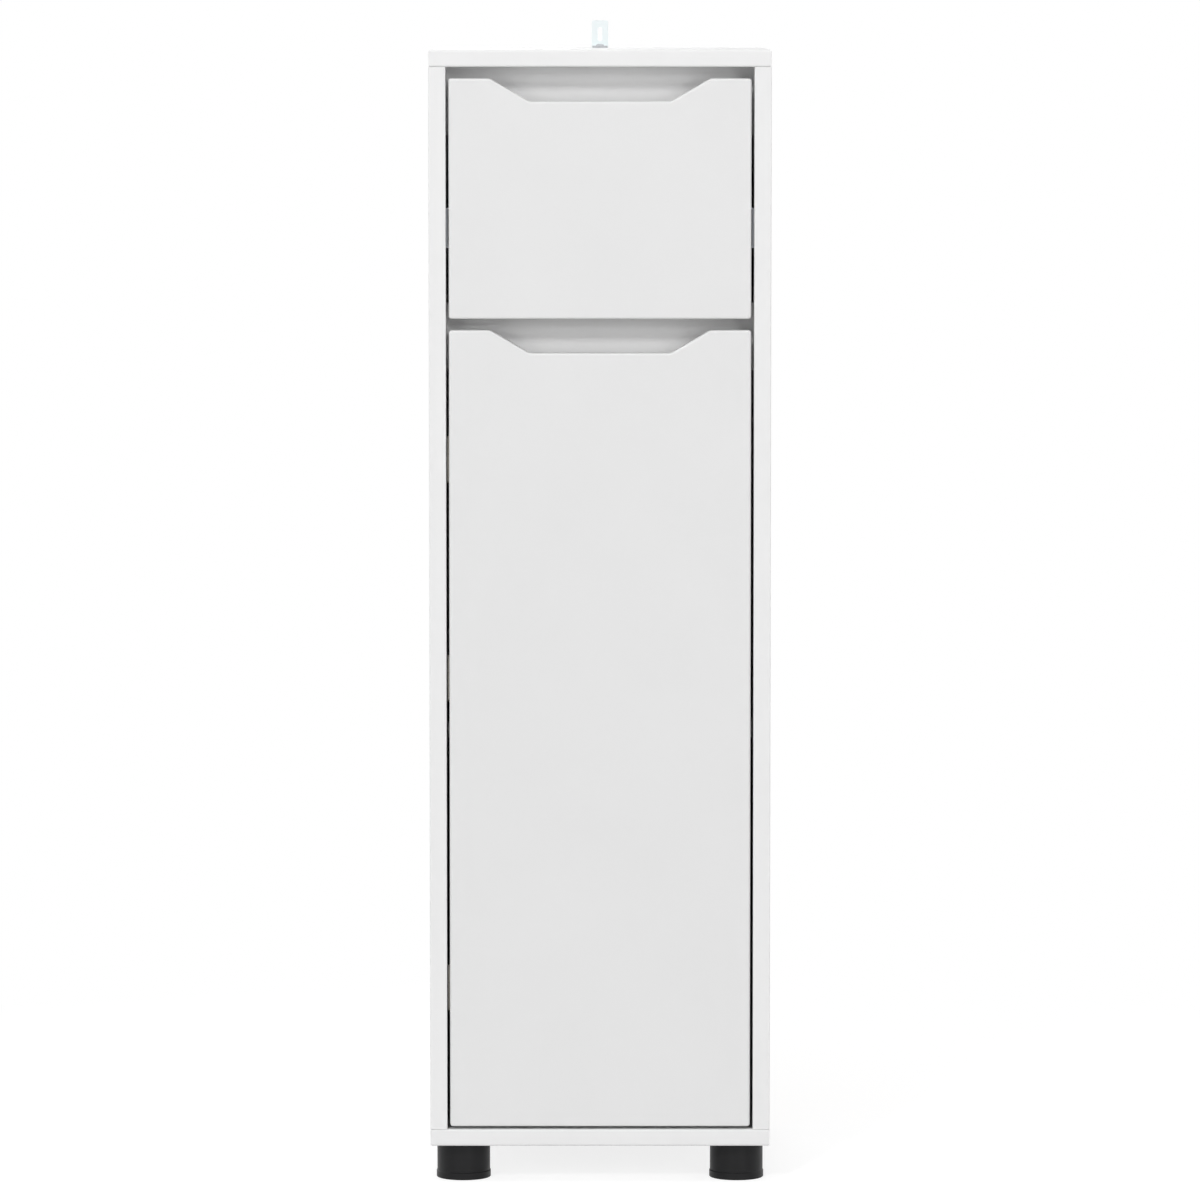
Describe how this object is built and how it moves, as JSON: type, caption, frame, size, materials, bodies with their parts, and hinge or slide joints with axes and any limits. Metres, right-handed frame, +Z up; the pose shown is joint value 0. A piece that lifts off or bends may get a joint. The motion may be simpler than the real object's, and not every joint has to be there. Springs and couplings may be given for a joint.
{
  "type": "bathroom cabinet",
  "caption": "Tall narrow white bathroom cabinet with a drawer over a hinged door, sloped finger notches, an inner shelf, round feet and a slotted wall bracket.",
  "frame": {"origin": "on the floor under the middle of the cabinet's footprint", "axes": "+Z up, +Y to the wall behind, +X to the right of someone facing the fronts"},
  "size_m": [0.3, 0.3, 1.025],
  "materials": {
    "carcass_board": "white melamine-faced chipboard, matt, banded front edges",
    "front_board": "white foil-wrapped board, satin, rounded front edges",
    "drawer_board": "white wrapped drawer board, matt",
    "hardboard": "thin fibreboard, white inside and brown outside",
    "dowel_wood": "turned beech, bare",
    "runner_steel": "cold-rolled steel, bright zinc plated",
    "hinge_steel": "stamped steel, nickel plated",
    "cam_zinc": "die-cast zinc, bare",
    "screw_steel": "screw steel, zinc plated",
    "bracket_steel": "sheet steel, white powder coat",
    "foot_plastic": "moulded plastic, black, fine grain"
  },
  "bodies": {
    "cabinet": {"top_panel": "carcass_board", "bottom_panel": "carcass_board", "left_side_panel": "carcass_board", "right_side_panel": "carcass_board", "upper_front_rail": "carcass_board", "middle_front_rail": "carcass_board", "shelf": "carcass_board", "back_panel": "hardboard", "wooden_dowels": "dowel_wood", "left_runner_outer": "runner_steel", "right_runner_outer": "runner_steel", "upper_hinge_plate": "hinge_steel", "upper_hinge_arm": "hinge_steel", "middle_hinge_plate": "hinge_steel", "middle_hinge_arm": "hinge_steel", "lower_hinge_plate": "hinge_steel", "lower_hinge_arm": "hinge_steel", "cam_locks": "cam_zinc", "cam_bolts": "screw_steel", "back_nails": "screw_steel", "shelf_pins": "screw_steel", "foot_screws": "screw_steel", "wall_bracket_screw": "screw_steel", "runner_screws": "screw_steel", "hinge_plate_screws": "screw_steel", "hinge_arm_screws": "screw_steel", "wall_bracket": "bracket_steel", "front_left_foot": "foot_plastic", "front_right_foot": "foot_plastic", "rear_left_foot": "foot_plastic", "rear_right_foot": "foot_plastic"},
    "drawer": {"drawer_front": "front_board", "drawer_left_side": "drawer_board", "drawer_right_side": "drawer_board", "drawer_back": "drawer_board", "drawer_bottom": "hardboard", "left_runner_inner": "runner_steel", "right_runner_inner": "runner_steel", "drawer_runner_screws": "screw_steel", "drawer_cam_locks": "cam_zinc", "drawer_cam_bolts": "screw_steel", "drawer_screws": "screw_steel"},
    "ball_cages": {"left_ball_cages": "runner_steel", "right_ball_cages": "runner_steel"},
    "door": {"door_panel": "front_board", "upper_hinge_cup": "hinge_steel", "middle_hinge_cup": "hinge_steel", "lower_hinge_cup": "hinge_steel", "hinge_pins": "hinge_steel", "hinge_cup_screws": "screw_steel"}
  },
  "joints": [
    {"name": "drawer_slide", "type": "slide", "parent": "cabinet", "child": "drawer", "axis": [0, -1, 0], "range_m": [0, 0.175]},
    {"name": "ball_cage_slide", "type": "slide", "parent": "cabinet", "child": "ball_cages", "axis": [0, -1, 0], "range_m": [0, 0.0875]},
    {"name": "door_hinge", "type": "hinge", "parent": "cabinet", "child": "door", "pos_m": [-0.1185, -0.142, 0.4], "axis": [0, 0, -1], "range_deg": [0, 95]}
  ],
  "couplings": [
    {"joint": "ball_cage_slide", "follows": "drawer_slide", "ratio": 0.5}
  ]
}
